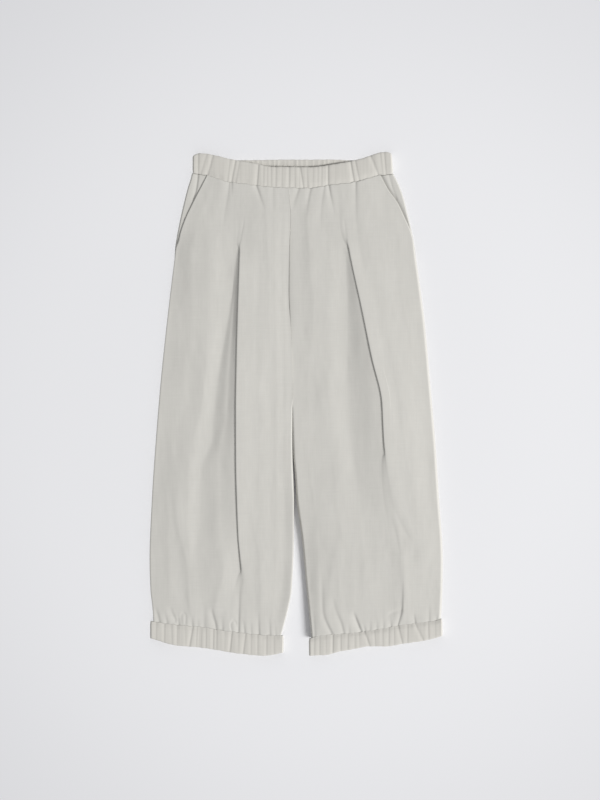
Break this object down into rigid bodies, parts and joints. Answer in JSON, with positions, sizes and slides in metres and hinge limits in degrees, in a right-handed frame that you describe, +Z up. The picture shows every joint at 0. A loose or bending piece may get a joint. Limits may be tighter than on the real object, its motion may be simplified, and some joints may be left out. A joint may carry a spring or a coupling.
{
  "type": "cropped balloon trousers",
  "caption": "Cropped balloon trousers laid flat, with a gathered elastic waistband, slanted hip pockets, one deep pleat on each leg and gathered elastic cuffs.",
  "frame": {"origin": "on the surface that the trousers lie on, below the middle of their bounding box", "axes": "+Y from the leg cuffs to the waistband, +X to the right as seen from above with the front up, +Z up out of the surface"},
  "size_m": [0.4694, 0.8062, 0.0167],
  "materials": {
    "cloth": "matte",
    "band_cloth": "matte"
  },
  "bodies": {
    "root": {"front_left": "cloth", "front_right": "cloth", "back_left": "cloth", "back_right": "cloth", "pocket_facing_left": "cloth", "pocket_facing_right": "cloth", "waistband": "band_cloth", "cuff_left": "band_cloth", "cuff_right": "band_cloth"}
  },
  "joints": []
}
